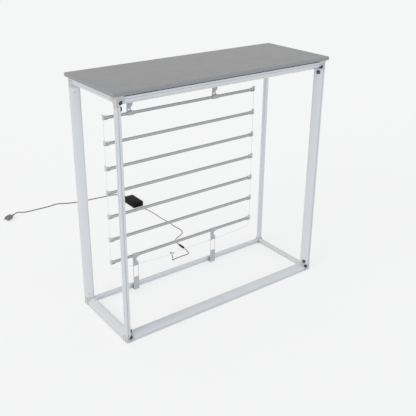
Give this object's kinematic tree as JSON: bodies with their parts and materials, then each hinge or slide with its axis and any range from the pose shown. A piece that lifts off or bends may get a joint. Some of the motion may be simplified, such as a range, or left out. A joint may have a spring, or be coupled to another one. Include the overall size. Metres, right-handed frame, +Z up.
{
  "type": "exhibition counter",
  "caption": "Backlit exhibition counter: push-together aluminium frame, loose countertop, hung ladder of LED bars, and its power adaptor and leads on the floor.",
  "frame": {"origin": "on the floor, under the middle of the countertop and of the frame", "axes": "+X towards the right-hand end, +Y towards the back where the LED ladder hangs, +Z up"},
  "size_m": [1, 1.3662, 0.99],
  "materials": {
    "anodised_aluminium": "satin anodised extrusion",
    "cast_connector": "fine matt coat on a casting",
    "dark_lock": "smooth dark moulding",
    "grey_laminate": "fine matt laminate on a board",
    "bar_aluminium": "satin anodised channel",
    "white_lead": "smooth sheath",
    "grey_plastic": "moulded, satin",
    "elastic_cord": "braided elastic",
    "black_lead": "smooth sheath",
    "black_plastic": "moulded, finely textured",
    "circuit_board": "laminated board with a coil",
    "plug_plastic": "moulded, satin"
  },
  "bodies": {
    "frame": {"post_front_left": "anodised_aluminium", "post_front_right": "anodised_aluminium", "post_back_left": "anodised_aluminium", "post_back_right": "anodised_aluminium", "bottom_rail_front": "anodised_aluminium", "bottom_rail_back": "anodised_aluminium", "bottom_rail_left": "anodised_aluminium", "bottom_rail_right": "anodised_aluminium", "top_rail_front": "anodised_aluminium", "top_rail_back": "anodised_aluminium", "top_rail_left": "anodised_aluminium", "top_rail_right": "anodised_aluminium", "connector_bottom_front_left": "cast_connector", "connector_bottom_front_right": "cast_connector", "connector_bottom_back_left": "cast_connector", "connector_bottom_back_right": "cast_connector", "connector_top_front_left": "cast_connector", "connector_top_front_right": "cast_connector", "connector_top_back_left": "cast_connector", "connector_top_back_right": "cast_connector", "led_bar_1": "bar_aluminium", "led_bar_2": "bar_aluminium", "led_bar_3": "bar_aluminium", "led_bar_4": "bar_aluminium", "led_bar_5": "bar_aluminium", "led_bar_6": "bar_aluminium", "led_bar_7": "bar_aluminium", "side_lead_left": "white_lead", "side_lead_right": "white_lead", "top_hook_left": "grey_plastic", "top_hook_right": "grey_plastic", "bar_clip_left": "grey_plastic", "bar_clip_right": "grey_plastic", "elastic_left": "elastic_cord", "elastic_right": "elastic_cord", "white_lead_left": "white_lead", "white_lead_right": "white_lead", "lead_junction": "grey_plastic", "dc_tail": "black_lead", "dc_socket": "black_plastic", "dc_plug": "black_plastic", "dc_lead": "black_lead", "dc_relief": "black_lead", "adaptor_base": "black_plastic", "adaptor_cover": "black_plastic", "adaptor_board": "circuit_board", "ac_relief": "black_lead", "ac_lead": "black_lead", "ac_plug": "plug_plastic"},
    "countertop": {"countertop": "grey_laminate"},
    "lock_connector_bottom_left": {"lock_connector_bottom_left": "dark_lock"},
    "lock_connector_bottom_right": {"lock_connector_bottom_right": "dark_lock"},
    "lock_connector_top_left": {"lock_connector_top_left": "dark_lock"},
    "lock_connector_top_right": {"lock_connector_top_right": "dark_lock"},
    "lock_post_bottom_left": {"lock_post_bottom_left": "dark_lock"},
    "lock_post_bottom_right": {"lock_post_bottom_right": "dark_lock"},
    "lock_post_top_left": {"lock_post_top_left": "dark_lock"},
    "lock_post_top_right": {"lock_post_top_right": "dark_lock"},
    "hook_left": {"lower_hook_left": "grey_plastic"},
    "hook_right": {"lower_hook_right": "grey_plastic"}
  },
  "joints": [
    {"name": "countertop_lift", "type": "slide", "parent": "frame", "child": "countertop", "axis": [0, 0, 1], "range_m": [0, 0.05]},
    {"name": "turn_lock_connector_bottom_left", "type": "hinge", "parent": "frame", "child": "lock_connector_bottom_left", "pos_m": [-0.4682, -0.167, 0.02], "axis": [0, -1, 0], "range_deg": [0, 90]},
    {"name": "turn_lock_connector_bottom_right", "type": "hinge", "parent": "frame", "child": "lock_connector_bottom_right", "pos_m": [0.4682, -0.167, 0.02], "axis": [0, -1, 0], "range_deg": [0, 90]},
    {"name": "turn_lock_connector_top_left", "type": "hinge", "parent": "frame", "child": "lock_connector_top_left", "pos_m": [-0.4682, -0.167, 0.9507], "axis": [0, -1, 0], "range_deg": [0, 90]},
    {"name": "turn_lock_connector_top_right", "type": "hinge", "parent": "frame", "child": "lock_connector_top_right", "pos_m": [0.4682, -0.167, 0.9507], "axis": [0, -1, 0], "range_deg": [0, 90]},
    {"name": "turn_lock_post_bottom_left", "type": "hinge", "parent": "frame", "child": "lock_post_bottom_left", "pos_m": [-0.46365, -0.16411, 0.0435], "axis": [0.8542, -0.5199, 0], "range_deg": [0, 90]},
    {"name": "turn_lock_post_bottom_right", "type": "hinge", "parent": "frame", "child": "lock_post_bottom_right", "pos_m": [0.46365, -0.16411, 0.0435], "axis": [-0.8542, -0.5199, 0], "range_deg": [0, 90]},
    {"name": "turn_lock_post_top_left", "type": "hinge", "parent": "frame", "child": "lock_post_top_left", "pos_m": [-0.46365, -0.16411, 0.9272], "axis": [0.8542, -0.5199, 0], "range_deg": [0, 90]},
    {"name": "turn_lock_post_top_right", "type": "hinge", "parent": "frame", "child": "lock_post_top_right", "pos_m": [0.46365, -0.16411, 0.9272], "axis": [-0.8542, -0.5199, 0], "range_deg": [0, 90]},
    {"name": "pull_hook_left", "type": "slide", "parent": "frame", "child": "hook_left", "axis": [0, 0, -1], "range_m": [0, 0.005], "stiffness_N_per_m": 200, "springref_m": -0.02, "deforming": ["elastic_left"]},
    {"name": "pull_hook_right", "type": "slide", "parent": "frame", "child": "hook_right", "axis": [0, 0, -1], "range_m": [0, 0.005], "stiffness_N_per_m": 200, "springref_m": -0.02, "deforming": ["elastic_right"]}
  ]
}
